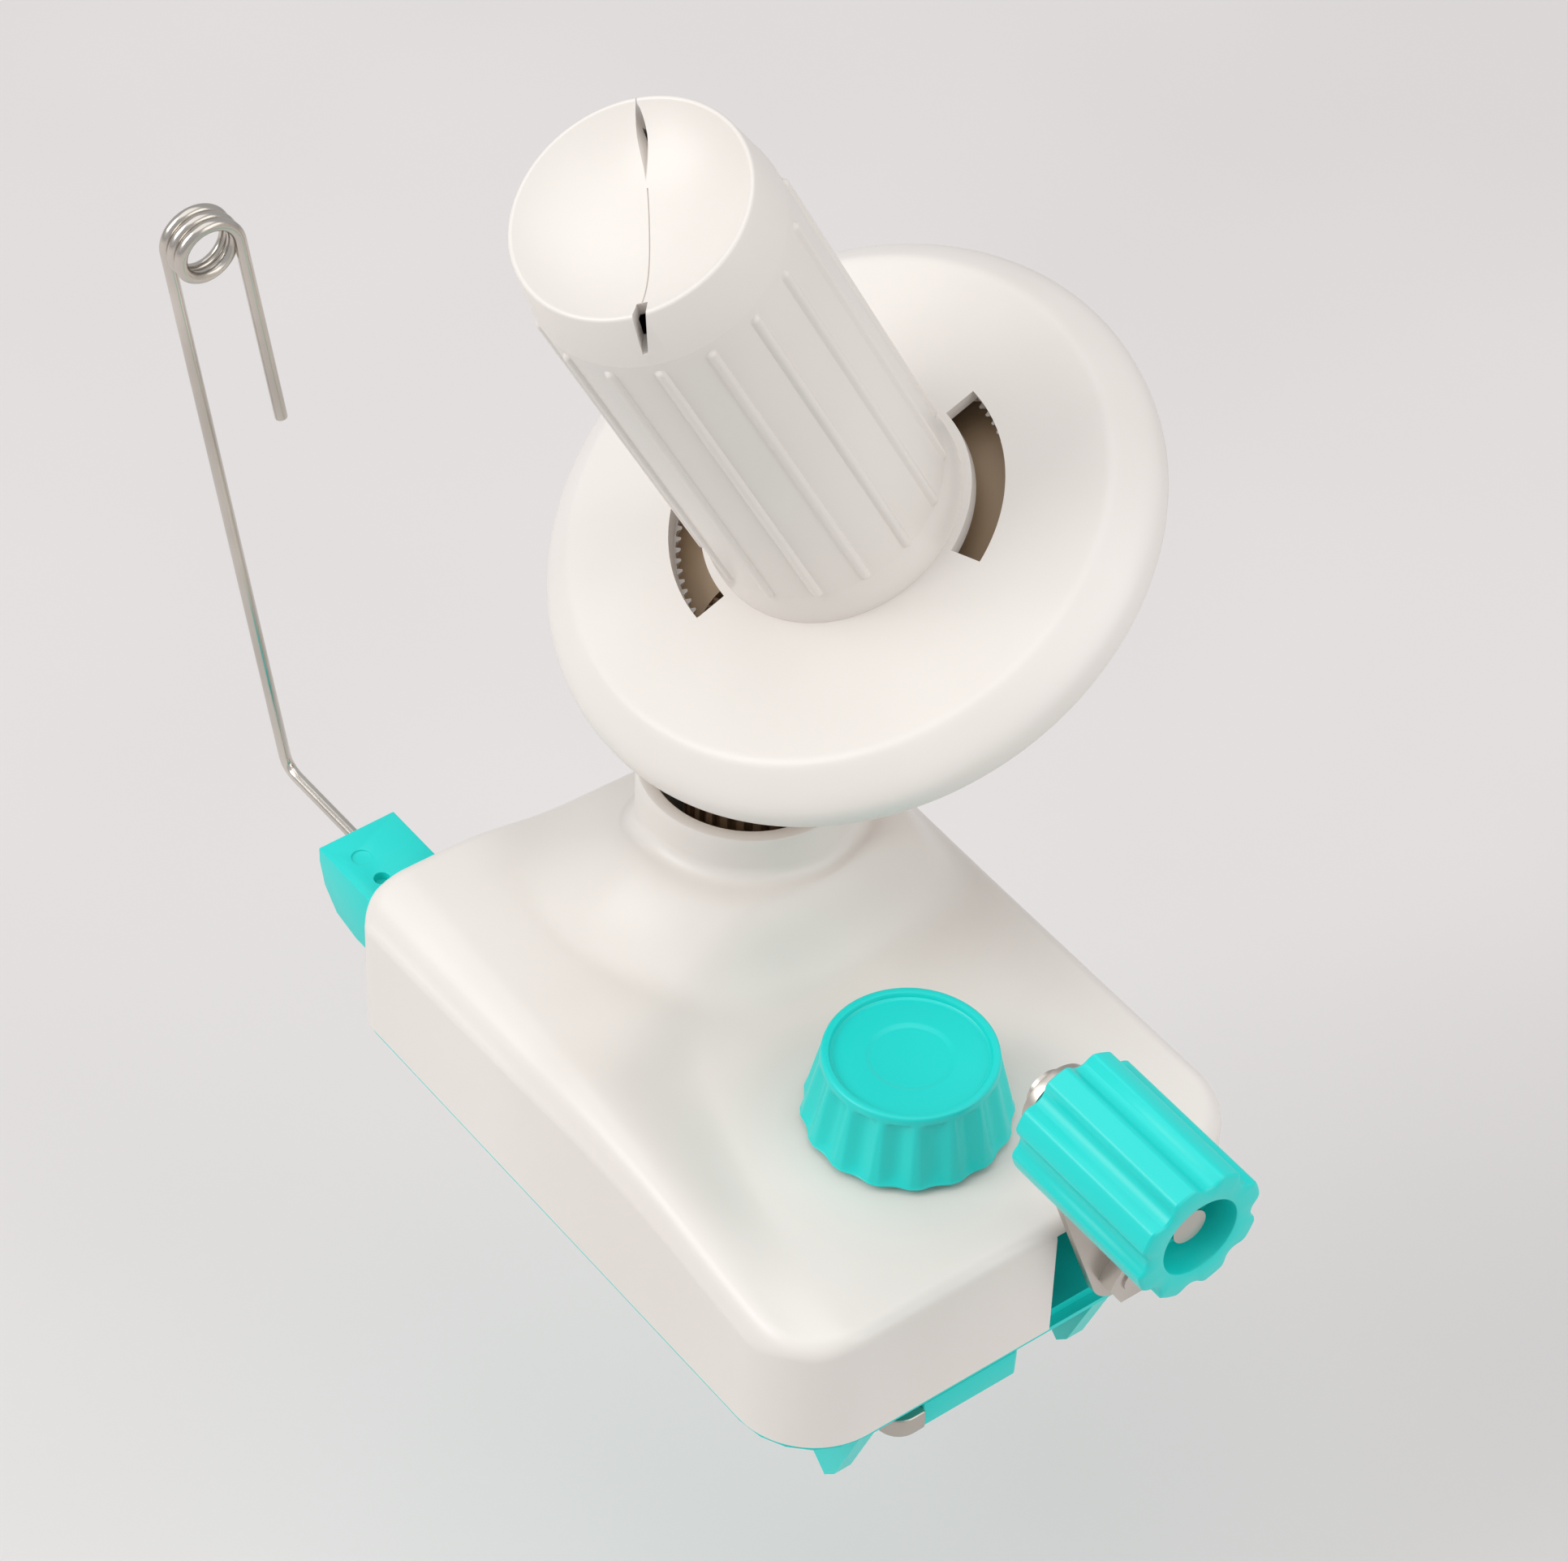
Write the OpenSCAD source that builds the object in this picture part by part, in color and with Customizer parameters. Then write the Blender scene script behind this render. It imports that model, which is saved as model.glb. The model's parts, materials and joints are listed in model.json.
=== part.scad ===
// Hand-cranked yarn ball winder that clamps to the edge of a table.
// The origin is the middle of the flat underside of the base plate, +Z is up,
// the crank is at the -Y end and the yarn guide at the +Y end.

/* [Body] */
// Width of the body
body_w = 108; // [104:1:118]
// Length of the body, front to back
body_l = 142; // [138:1:156]
// Radius of the body's front corners in plan
corner_r = 17; // [12:1:20]
// Radius of the body's rear corners in plan
rear_corner_r = 6; // [5:1:12]
// Height of the flat floor round the clamp knob
floor_h = 30; // [30:0.5:33]
// Wall of the body shell
wall = 2.4; // [1.8:0.2:3]
// Radius of the shell's top edge
edge_r = 3.5; // [2.5:0.5:5]
// Thickness of the base plate
plate_t = 3; // [2.5:0.5:4]
// Height of the plate's lip that shows below the shell
lip_t = 1; // [0.6:0.2:1.6]
// Height of the rear dome over the floor
dome_h = 15; // [13:0.5:18]
// Height of the neck's rim
neck_h = 55; // [53:0.5:58]
// Outer radius of the neck
neck_r = 22; // [20:0.5:24]
// Wall of the neck
neck_wall = 3; // [2:0.5:4]

/* [Clamp] */
// Distance from the front of the body to the clamp bolt
bolt_back = 38; // [35:1:41]
// Radius of the clamp bolt
bolt_r = 4; // [3:0.5:5]
// Radius of the knob at its base
knob_r = 20; // [18:0.5:22]
// Radius of the knob at its top
knob_top_r = 16.7; // [15:0.1:18]
// Height of the knob
knob_h = 17.2; // [15:0.2:20]
// Number of scallops round the knob
knob_scallops = 16; // [12:1:18]
// Drop of the open jaw below the base
jaw_drop = 29; // [26:1:32]
// Width of the jaw
jaw_w = 34; // [30:1:38]
// Length of the jaw, front to back
jaw_l = 40; // [36:1:44]
// Thickness of the jaw's cover
jaw_t = 6.5; // [5.5:0.5:8]
// Distance of each leg from the body's middle
leg_x = 28.3; // [26:0.1:32]
// Thickness of a leg
leg_t = 4; // [3:0.5:5]
// Drop of the leg's tip below the base
leg_drop = 35.9; // [32:0.1:40]

/* [Crank] */
// Height of the crank axle over the base
axle_z = 17.5; // [17:0.1:18.5]
// Radius of the crank axle
axle_r = 3; // [2.5:0.1:3.5]
// Distance between the axle and the handle
crank_c = 60; // [55:1:70]
// Lean of the crank at rest
crank_lean = 18.7; // [0:0.1:45]
// Width of the crank strip
crank_w = 14.6; // [12:0.2:18]
// Thickness of the crank strip
crank_t = 2; // [1.6:0.2:3]
// Gap between the body and the crank strip
crank_gap = 4; // [3:0.5:8]
// Length of the handle
handle_l = 35.6; // [32:0.2:46]
// Radius of the handle
handle_r = 13.6; // [12:0.2:16]
// Number of flutes round the handle
handle_flutes = 8; // [6:1:10]
// Radius of the handle's screw
handle_pin_r = 2.5; // [2:0.1:3]

/* [Drive] */
// Distance of the main axis to the right of the body's middle
main_x = 17; // [15:0.5:19]
// Distance of the main axis behind the body's middle
main_y = 39.4; // [38:0.2:41]
// Radius of the standing post
post_r = 2.5; // [2:0.1:2.6]
// Tooth module of the crown gear and its pinion
drive_m = 1; // [0.9:0.05:1]
// Teeth of the crown gear
crown_teeth = 28; // [26:1:28]
// Teeth of the pinion
pinion_teeth = 12; // [12:1:13]
// Outer radius of the toothed hub that shows in the neck
hub_r = 12.5; // [11:0.5:14]
// Ribs round the toothed hub
hub_teeth = 24; // [18:1:30]

/* [Spindle] */
// Tilt of the spindle from upright
tilt = 27.3; // [20:0.1:30]
// Height at which the spindle's axis crosses the main axis
apex_z = 146; // [144:0.5:150]
// Distance from that crossing down to the disc's top
ball_h = 39.4; // [38:0.2:41]
// Outer radius of the disc
disc_r = 61.3; // [58:0.1:66]
// Radius of the disc's flat top
disc_flat_r = 54; // [51:0.5:56]
// Height of the disc's rim
disc_t = 11.7; // [10:0.1:13]
// Wall of the disc
disc_wall = 2.6; // [2:0.1:3]
// Teeth of the ring gear
ring_teeth = 88; // [84:4:92]
// Teeth of the standing sun gear
sun_teeth = 24; // [23:1:25]
// Face width of the ring gear and sun gear
ring_face = 4.8; // [4:0.1:5]
// Radius of the spindle tube
tube_r = 24.4; // [23:0.1:26]
// Length of the spindle over the disc
spindle_h = 104.4; // [98:0.2:112]
// Height at which the cup meets the tube
cup_seat_h = 92; // [88:1:94]
// Radius of the cup's rim
cup_r = 22.6; // [21:0.1:24]
// Wall of the spindle tube
tube_wall = 2.2; // [1.8:0.1:3]
// Ribs round the spindle
rib_count = 16; // [12:1:20]
// Radius of the spindle's axle
spin_axle_r = 3; // [2.5:0.1:3.5]
// Width of the yarn slot in the cup
slot_w = 2; // [1.2:0.1:2.4]
// Wall of the cup at its rim
cup_wall = 0.9; // [0.8:0.1:1.6]
// Depth of the cup
cup_depth = 7; // [5:0.5:8]

/* [Yarn guide] */
// Diameter of the guide wire
wire_d = 2.4; // [2:0.1:3]
// Height of the wire's coiled eye
eye_z = 168.3; // [150:0.1:180]
// Distance of the eye to the left of the body's middle
eye_x = 55.4; // [50:0.1:58]
// Radius of the coil's centre line
coil_r = 5.9; // [4.8:0.1:7]
// Width of the bracket
bracket_w = 17.4; // [15:0.2:20]
// Reach of the bracket behind the body
bracket_l = 17.3; // [15:0.1:22]

/* [Fits] */
// Running clearance of axles, on the radius
run_gap = 0.05; // [0.02:0.01:0.1]
// Gap between pieces that move past each other
free_gap = 0.4; // [0.3:0.05:0.6]

/* [Hidden] */
round_fn = 96;
white = [0.91, 0.89, 0.87];
teal = [0.12, 0.78, 0.76];
steel = [0.68, 0.66, 0.63];
nylon = [0.55, 0.47, 0.38];

bush_wall = 1;
sleeve_r = post_r + run_gap + bush_wall + 0.9;
pinion_r = drive_m * pinion_teeth / 2;
crown_r = drive_m * crown_teeth / 2;
mesh_z = axle_z + crown_r;
crown_tip_y = main_y - pinion_r + 0.75 * drive_m;
crown_root_y = main_y - pinion_r - 1.4 * drive_m;
crown_back_y = crown_root_y - 3.5;
hub_z0 = axle_z + crown_r + 6;
hub_z1 = neck_h - 1;
housing_z0 = hub_z1;
sleeve_top = housing_z0 + 24;
sun_pitch_a = atan(sin(tilt) / (ring_teeth / sun_teeth - cos(tilt)));
ring_pitch_a = sun_pitch_a + tilt;
ring_mid = 7;
ring_s = ball_h + ring_mid;
ring_pitch_r = ring_s * tan(ring_pitch_a);
mesh_slant = ring_s / cos(ring_pitch_a);
sun_pitch_r = mesh_slant * sin(sun_pitch_a);
sun_mid = mesh_slant * cos(sun_pitch_a);
ring_m = 2 * ring_pitch_r / ring_teeth;
post_top = apex_z - sun_mid + ring_face / 2 + 0.8;
front_y = -body_l / 2;
back_y = body_l / 2;
bolt_y = front_y + bolt_back;
strip_y = front_y - crank_gap;
handle_y = strip_y - crank_t - 2.6;
boss_r = bolt_r + 4;
nut_w = 2 * bolt_r + 5;
saddle_w = 8;
saddle_front_y = front_y + 24;
saddle_back_y = crown_back_y - 4 - saddle_w;
notch_x0 = main_x - 11.5;
notch_x1 = main_x + 11.5;
hub_boss_h = 62;
spin_axle_drop = 28;
slot_dir = 48;
housing_screw_c = 9.2;
bracket_x = -body_w / 2 + 21.3;
bracket_screw_r = 1.4;
wire_x = bracket_x - 8.3;
wire_z = floor_h - 3;
wire_y = back_y + 42;
screw_x = body_w / 2 - 13;
screw_in = 13 - wall / 2;
boss_web_t = 1.6;
screw_y = body_l / 2 - 14;
screw_boss_r = 4;
foot_r = 3;

function smooth(t) = let (u = min(1, max(0, t))) u * u * (3 - 2 * u);

// Height of the left rail's crest over the floor, by share of the half length
rail_crest = [[-1, -2], [-0.73, -0.3], [-0.36, 4.8], [0, 6.6], [0.35, 6.6], [1, 6.3]];
// Foot of the rail's inner slope, as shares of the half length and half width
rail_foot = [[-1, -0.76], [-0.41, -0.61], [0.07, -0.41], [0.19, -0.2], [0.3, 0]];
// Height of the rear edge over the floor, by share of the half width
rear_edge = [[-1, 6.3], [-0.45, 5.5], [-0.2, 2], [0.4, 0.6], [1, 0]];
// Size of the rounded shoulder along the left side, by share of the half length
shoulder = [[-1, 4], [-0.4, 5], [0.2, 9], [1, 12]];

function top_z(p) =
    let (fy = p.y / (body_l / 2),
        hw = body_w / 2,
        foot = lookup(fy, rail_foot) * hw,
        rail = lookup(fy, rail_crest) * smooth((foot - p.x) / (foot + 0.9 * hw)),
        rear = smooth((p.y - main_y + neck_r + 19.5) / 19),
        away = norm([p.x - main_x, p.y - main_y]) - neck_r - 4,
        bump = smooth(1 - away / neck_r) * smooth((back_y + 1 - p.y) / 36) * smooth((hw + 1 - p.x) / 15),
        edge = lookup(p.x / hw, rear_edge),
        plateau = edge + (dome_h - edge) * bump,
        size = lookup(fy, shoulder),
        u = max(0, 1 - max(0.12, (p.x + hw) / size)),
        right_fall = 2 * smooth((p.x - hw + 18) / 18))
    floor_h + (1 - rear) * rail + rear * plateau - size * (1 - sqrt(1 - u * u)) - right_fall;

// Lowest place of the body's top within a distance of a point
function low_top(p, r) = min([for (a = [0 : 45 : 315]) top_z(p + r * [cos(a), sin(a)])]);

// Points round the body's outline, drawn in by a distance
arc_steps = 5;
long_steps = 14;
short_steps = 12;
function corner(sx, sy, a0, r, inset) =
    let (cx = sx * (body_w / 2 - r), cy = sy * (body_l / 2 - r), q = r - inset)
    [for (i = [0 : arc_steps - 1]) let (a = a0 + 90 * i / arc_steps) [cx + q * cos(a), cy + q * sin(a)]];
function run(a, b, n) = [for (i = [0 : n - 1]) a + (b - a) * i / n];
function outline(inset) =
    let (f = corner_r, r = rear_corner_r, w = body_w / 2, l = body_l / 2, x = w - inset, y = l - inset)
    concat(corner(1, 1, 0, r, inset), run([w - r, y], [r - w, y], short_steps),
        corner(-1, 1, 90, r, inset), run([-x, l - r], [-x, f - l], long_steps),
        corner(-1, -1, 180, f, inset), run([f - w, -y], [w - f, -y], short_steps),
        corner(1, -1, 270, f, inset), run([x, f - l], [x, l - r], long_steps));

// The sculpted shell as one closed skin: outer loops from the bottom edge to the middle of
// the top, and inner loops the wall's thickness inside them
outer_rings = 11;
inner_rings = 6;
module shell_skin() {
    edge = [for (a = [0, 35, 65, 90]) let (o = outline(edge_r * (1 - cos(a))))
        [for (p = o) [p.x, p.y, top_z(p) - edge_r * (1 - sin(a))]]];
    top = [for (k = [outer_rings - 1 : -1 : 1])
        [for (p = outline(edge_r)) let (q = p * k / outer_rings) [q.x, q.y, top_z(q)]]];
    roof = [for (k = [inner_rings : -1 : 1])
        [for (p = outline(wall)) let (q = p * k / inner_rings) [q.x, q.y, top_z(q) - wall]]];
    outer = concat([[for (p = outline(0)) [p.x, p.y, lip_t]]], edge, top);
    inner = concat([[for (p = outline(wall)) [p.x, p.y, lip_t]]], roof);
    n = len(outer[0]);
    m = len(outer);
    w = len(inner);
    start = n * m + 1;
    points = concat([for (l = outer) each l], [[0, 0, top_z([0, 0])]],
        [for (l = inner) each l], [[0, 0, top_z([0, 0]) - wall]]);
    next = function (i) (i + 1) % n;
    outer_sides = [for (k = [0 : m - 2], i = [0 : n - 1]) let (a = k * n, b = a + n, j = next(i))
        each [[a + i, b + i, b + j], [a + i, b + j, a + j]]];
    inner_sides = [for (k = [0 : w - 2], i = [0 : n - 1]) let (a = start + k * n, b = a + n, j = next(i))
        each [[a + i, b + j, b + i], [a + i, a + j, b + j]]];
    rim = [for (i = [0 : n - 1]) let (j = next(i))
        each [[i, j, start + j], [i, start + j, start + i]]];
    caps = [for (i = [0 : n - 1]) let (a = (m - 1) * n, b = start + (w - 1) * n, j = next(i))
        each [[a + i, n * m, a + j], [b + i, b + j, start + n * w]]];
    polyhedron(points, concat(outer_sides, inner_sides, rim, caps));
}

// The rounded foot where the neck meets the body, which follows the body's top
foot_steps = 60;
module neck_foot() {
    arc = [for (b = [18 : 18 : 90]) [(foot_r + 0.3) * (1 - sin(b)) - 0.3, foot_r * (1 - cos(b))]];
    section = concat([[-1.5, -6], [foot_r + 1.2, -6], [foot_r + 1.2, -1.3]], arc, [[-1.5, foot_r - 0.1]]);
    n = len(section);
    points = [for (i = [0 : foot_steps - 1]) let (d = [cos(i * 360 / foot_steps), sin(i * 360 / foot_steps)],
            h = top_z([main_x, main_y] + (neck_r + foot_r) * d))
        for (q = section) [main_x + (neck_r + q.x) * d.x, main_y + (neck_r + q.x) * d.y, h + q.y]];
    polyhedron(points, [for (i = [0 : foot_steps - 1], k = [0 : n - 1])
        let (a = i * n, b = ((i + 1) % foot_steps) * n, j = (k + 1) % n)
        each [[a + k, b + j, b + k], [a + k, a + j, b + j]]]);
}

module rod(r, z0, z1) { translate([0, 0, z0]) cylinder(r = r, h = z1 - z0, $fn = round_fn); }
module rod_y(r, y0, y1) {
    translate([0, y1, 0]) rotate([90, 0, 0]) cylinder(r = r, h = y1 - y0, $fn = round_fn);
}
module at_main() { translate([main_x, main_y, 0]) children(); }
module at_bolt() { translate([0, bolt_y, 0]) children(); }
module at_axle() { translate([main_x, 0, axle_z]) children(); }
module on_disc() {
    at_main() translate([0, 0, apex_z]) rotate([0, -tilt, 0]) translate([0, 0, -ball_h]) children();
}
module at_handle() { at_axle() rotate([0, -crank_lean, 0]) translate([0, 0, crank_c]) children(); }
module at_screws() {
    for (x = [-screw_x, screw_x], y = [-screw_y, screw_y]) translate([x, y, 0]) children();
}

module upper_shell() color(white) difference() {
    union() {
        shell_skin();
        at_main() rod(neck_r, floor_h - 4, neck_h);
        neck_foot();
        at_bolt() rod(boss_r, plate_t, floor_h - wall / 2);
        for (x = [-screw_x, screw_x], y = [-screw_y, screw_y])
            translate([x, y, plate_t]) {
                cylinder(r = screw_boss_r, h = low_top([x, y], screw_boss_r) - wall / 3 - plate_t, $fn = 48);
                translate([x > 0 ? 0 : -screw_in, -boss_web_t / 2, 0])
                    cube([screw_in, boss_web_t, floor_h - 12 - plate_t]);
            }
    }
    at_main() rod(neck_r - neck_wall, 12, neck_h + 1);
    at_bolt() rod(bolt_r + free_gap, 0, floor_h + 10);
    at_screws() rod(1.5, 0, 14);
    translate([notch_x0, front_y - 1, 0]) cube([notch_x1 - notch_x0, wall + 2, floor_h - 2.5]);
    at_bracket_screw() rod_y(bracket_screw_r + 0.2, back_y - wall - 1, back_y + 1);
}

module leg_profile() {
    polygon([[front_y + 4.3, 0], [front_y + 10.5, -0.44 * leg_drop], [front_y + 17.2, -leg_drop + 3],
        [front_y + 20.1, -leg_drop], [front_y + 24.9, -leg_drop + 4.7], [front_y + 33, 0],
        [front_y + 33, plate_t], [front_y + 4.3, plate_t]]);
}

module base_plate() color(teal) difference() {
    union() {
        linear_extrude(height = lip_t) polygon(outline(0.5));
        linear_extrude(height = plate_t) polygon(outline(wall + 0.2));
        for (s = [-1, 1]) translate([s * leg_x - leg_t / 2, 0, 0])
            rotate([90, 0, 90]) linear_extrude(height = leg_t) leg_profile();
        for (y = [saddle_front_y, saddle_back_y]) translate([main_x - 7, y, plate_t / 2])
            cube([14, saddle_w, axle_z + 6 - plate_t / 2]);
        at_main() rod(7, 0, plate_t + 2.5);
    }
    at_main() rod(post_r, 1, 20);
    at_bolt() rod(bolt_r + free_gap, -1, 20);
    at_screws() rod(1.7, -1, 10);
    at_screws() rod(3.2, -1, 1.6);
    at_axle() rod_y(axle_r + run_gap + bush_wall, saddle_front_y - 1, saddle_back_y + saddle_w + 1);
    at_axle() rod_y(crown_r + 1 + free_gap, crown_back_y - free_gap, crown_tip_y + free_gap);
}

module base_screws() color(steel) at_screws() {
    rod(3, 0.2, 1.6);
    rod(1.5, 1.6, 12);
}

module centre_post() color(steel) at_main() rod(post_r, 1, post_top);

// Flat outline of a gear with straight-sided teeth
function gear_points(teeth, root, tip, root_share, tip_share) = [
    for (i = [0 : teeth - 1],
            q = [[root, -root_share], [tip, -tip_share], [tip, tip_share], [root, root_share]])
        let (a = 360 / teeth * (i + q[1] / 2)) [q[0] * cos(a), q[0] * sin(a)]];

module sun_gear() color(nylon) at_main() translate([0, 0, apex_z - sun_mid]) difference() {
    rotate([0, 0, 180]) translate([0, 0, -ring_face / 2])
        linear_extrude(height = ring_face, scale = (sun_mid - ring_face / 2) / (sun_mid + ring_face / 2))
            scale((sun_mid + ring_face / 2) / sun_mid)
                polygon(gear_points(sun_teeth, sun_pitch_r - 0.95 * ring_m,
                    sun_pitch_r + 0.75 * ring_m, 0.56, 0.18));
    rod(post_r, -ring_face, ring_face);
}

module sun_screw() color(steel) at_main() {
    rod(post_r + 1.5, post_top, post_top + 1.6);
}

module thrust_washer() color(steel) at_main() difference() {
    rod(sleeve_r + 1.5, plate_t + 2.5, plate_t + 3.3);
    rod(post_r + run_gap, plate_t, plate_t + 4);
}

module crank_bushes() color(steel) at_axle()
    for (y = [saddle_front_y, saddle_back_y]) difference() {
        union() {
            rod_y(axle_r + run_gap + bush_wall, y, y + saddle_w);
            rod_y(axle_r + run_gap + bush_wall + 1.2, y - 1, y);
        }
        rod_y(axle_r + run_gap, y - 2, y + saddle_w + 1);
    }

module knob_washer() color(steel) at_bolt() difference() {
    rod(bolt_r + 5, floor_h, floor_h + 0.8);
    rod(bolt_r + free_gap, floor_h - 1, floor_h + 2);
}

module at_bracket_screw() { translate([bracket_x - bracket_w / 2, 0, floor_h - 10]) children(); }

module guide_bracket() color(teal) difference() {
    translate([bracket_x - bracket_w, 0, 0]) rotate([90, 0, 90]) linear_extrude(height = bracket_w)
        polygon([[back_y - 9, floor_h], [back_y + bracket_l, floor_h], [back_y + bracket_l, floor_h - 3.5],
            [back_y + bracket_l - 1.5, floor_h - 8.8], [back_y + bracket_l - 5.5, floor_h - 13.4],
            [back_y + bracket_l - 12, floor_h - 15], [back_y - 9, floor_h - 15]]);
    linear_extrude(height = floor_h + 5) polygon(outline(0));
    translate([wire_x, 0, wire_z]) rod_y(wire_d / 2, back_y + 2, back_y + bracket_l + 1);
    translate([bracket_x - 12, back_y + 3.5, floor_h - 2]) rod(1.6, 0, 5);
    translate([bracket_x - 12, back_y + 10.5, floor_h - 0.4]) rod(2, 0, 5);
    at_bracket_screw() rod_y(bracket_screw_r, back_y - 1, back_y + 4);
}

module bracket_screw() color(steel) at_bracket_screw() {
    rod_y(bracket_screw_r, back_y - wall, back_y + 4);
    rod_y(2.6, back_y - wall - 1.7, back_y - wall);
}

// A tube swept along points in space, as one closed solid of six sides
wire_sides = 6;
function unit(v) = v / norm(v);
function frame_u(path, i) =
    let (t = unit(path[min(i + 1, len(path) - 1)] - path[max(i - 1, 0)]))
    abs(t.y) > 0.9 ? unit(cross(t, [1, 0, 0])) : unit(cross([0, 1, 0], t));
module sweep(path, r) {
    n = len(path);
    rings = [for (i = [0 : n - 1])
        let (t = unit(path[min(i + 1, n - 1)] - path[max(i - 1, 0)]), u = frame_u(path, i), v = cross(t, u))
        [for (k = [0 : wire_sides - 1]) path[i] + r * (cos(60 * k) * u + sin(60 * k) * v)]];
    faces = concat(
        [for (i = [0 : n - 2], k = [0 : wire_sides - 1]) let (j = (k + 1) % wire_sides)
            each [[i * wire_sides + k, (i + 1) * wire_sides + k, (i + 1) * wire_sides + j],
                [i * wire_sides + k, (i + 1) * wire_sides + j, i * wire_sides + j]]],
        [[for (k = [0 : wire_sides - 1]) k]],
        [[for (k = [wire_sides - 1 : -1 : 0]) (n - 1) * wire_sides + k]]);
    polyhedron([for (l = rings) each l], faces);
}

coil_step = wire_d + 0.45;
coil_turns = 2.5;
stem_run = [6.9, 0, -45.5];
stem_a = 8.3;
coil_path = [for (i = [0 : 8 * coil_turns]) let (a = 180 + stem_a - 45 * i)
    [-eye_x + coil_r * cos(a), wire_y - coil_step * i / 8, eye_z + coil_r * sin(a)]];
coil_end = coil_path[len(coil_path) - 1];
wire_path = concat([[wire_x, back_y + 2, wire_z], [wire_x, wire_y - 4, wire_z],
    [wire_x, wire_y - 1.2, wire_z + 1.2], [wire_x - 0.6, wire_y, wire_z + 4]], coil_path,
    [coil_end + stem_run]);
echo(least_gap_of_the_coil_to_itself = coil_step - wire_d);

module guide_wire() color(steel) sweep(wire_path, wire_d / 2);

module crank_axle() color(steel) at_axle() rod_y(axle_r, strip_y - crank_t - 4, crown_back_y + 5);

module crown_gear() color(nylon) at_axle() difference() {
    union() {
        rod_y(crown_r + 1, crown_back_y, crown_root_y);
        rod_y(axle_r + 3, crown_back_y - 3, crown_back_y);
        for (i = [0 : crown_teeth - 1]) rotate([0, (i + 0.5) * 360 / crown_teeth, 0])
            translate([-0.4 * drive_m, crown_root_y - 0.5, crown_r - 1.8])
                cube([0.8 * drive_m, crown_tip_y - crown_root_y + 0.5, 2.8]);
    }
    rod_y(axle_r, crown_back_y - 4, crown_back_y + 5);
}

module axle_ring() color(steel) at_axle() difference() {
    rod_y(axle_r + 2, saddle_front_y + saddle_w + 0.4, saddle_front_y + saddle_w + 1.6);
    rod_y(axle_r, saddle_front_y + saddle_w, saddle_front_y + saddle_w + 3);
}

module crank_arm() color(steel) difference() {
    translate([main_x, strip_y, axle_z]) rotate([0, -crank_lean, 0]) rotate([90, 0, 0])
        linear_extrude(height = crank_t) union() {
            circle(r = crank_w / 2, $fn = round_fn);
            translate([-crank_w / 2, 0]) square([crank_w, crank_c]);
            translate([0, crank_c]) circle(r = crank_w / 2, $fn = round_fn);
        }
    at_axle() rod_y(axle_r, strip_y - 10, strip_y + 10);
    at_handle() rod_y(handle_pin_r, strip_y - 10, strip_y + 10);
}

module crank_nut() color(steel) at_axle() difference() {
    translate([0, strip_y - crank_t, 0]) rotate([90, 0, 0]) cylinder(r = 6, h = 3.5, $fn = 6);
    rod_y(axle_r, strip_y - 10, strip_y);
}

module handle_screw() color(steel) at_handle() {
    rod_y(handle_pin_r, handle_y - handle_l + 3, strip_y + 2.6);
    rod_y(handle_pin_r + 1.1, handle_y - handle_l + 3, handle_y - handle_l + 6);
    rod_y(5.6, handle_y - handle_l + 6, handle_y - handle_l + 6.8);
    rod_y(handle_pin_r + 1.5, handle_y + free_gap, strip_y - crank_t);
}

module handle_nut() color(steel) at_handle() difference() {
    rod_y(handle_pin_r + 1.6, strip_y, strip_y + 2.6);
    rod_y(handle_pin_r, strip_y - 1, strip_y + 5);
}

module handle_grip() color(teal) at_handle() difference() {
    rod_y(handle_r, handle_y - handle_l, handle_y);
    for (i = [0 : handle_flutes - 1]) rotate([0, (i + 0.5) * 360 / handle_flutes, 0])
        translate([0, 0, handle_r + 1.4]) rod_y(3.2, handle_y - handle_l - 5, handle_y + 5);
    rod_y(handle_pin_r + run_gap, handle_y - handle_l, handle_y + 5);
    rod_y(8.1, handle_y - handle_l - 5, handle_y - handle_l + 6.8 + free_gap);
}

module drive_sleeve() color(nylon) at_main() difference() {
    union() {
        rod(sleeve_r, plate_t + 3.3 + free_gap, sleeve_top);
        translate([0, 0, mesh_z - 5.5]) linear_extrude(height = 6.5)
            rotate(-90) polygon(gear_points(pinion_teeth, pinion_r - 1.1 * drive_m,
                pinion_r + 0.8 * drive_m, 0.5, 0.2));
    }
    rod(post_r + run_gap + bush_wall, 0, sleeve_top + 1);
}

module sleeve_bushes() color(steel) at_main()
    for (z = [plate_t + 3.3 + free_gap, sleeve_top - 8]) difference() {
        rod(post_r + run_gap + bush_wall, z, z + 8);
        rod(post_r + run_gap, z - 1, z + 9);
    }

module at_housing_screws() {
    for (i = [0 : 2]) rotate(60 + 120 * i) translate([housing_screw_c, 0, 0]) children();
}

module toothed_hub() color(nylon) at_main() difference() {
    union() {
        rod(hub_r - 1.2, hub_z0, hub_z1);
        for (i = [0 : hub_teeth - 1]) rotate(i * 360 / hub_teeth)
            translate([hub_r - 2.2, -0.7, hub_z0]) cube([2.2, 1.4, hub_z1 - hub_z0]);
    }
    rod(sleeve_r, hub_z0 - 1, hub_z1 + 1);
    at_housing_screws() rod(1.3, hub_z1 - 9, hub_z1 + 1);
}

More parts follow.
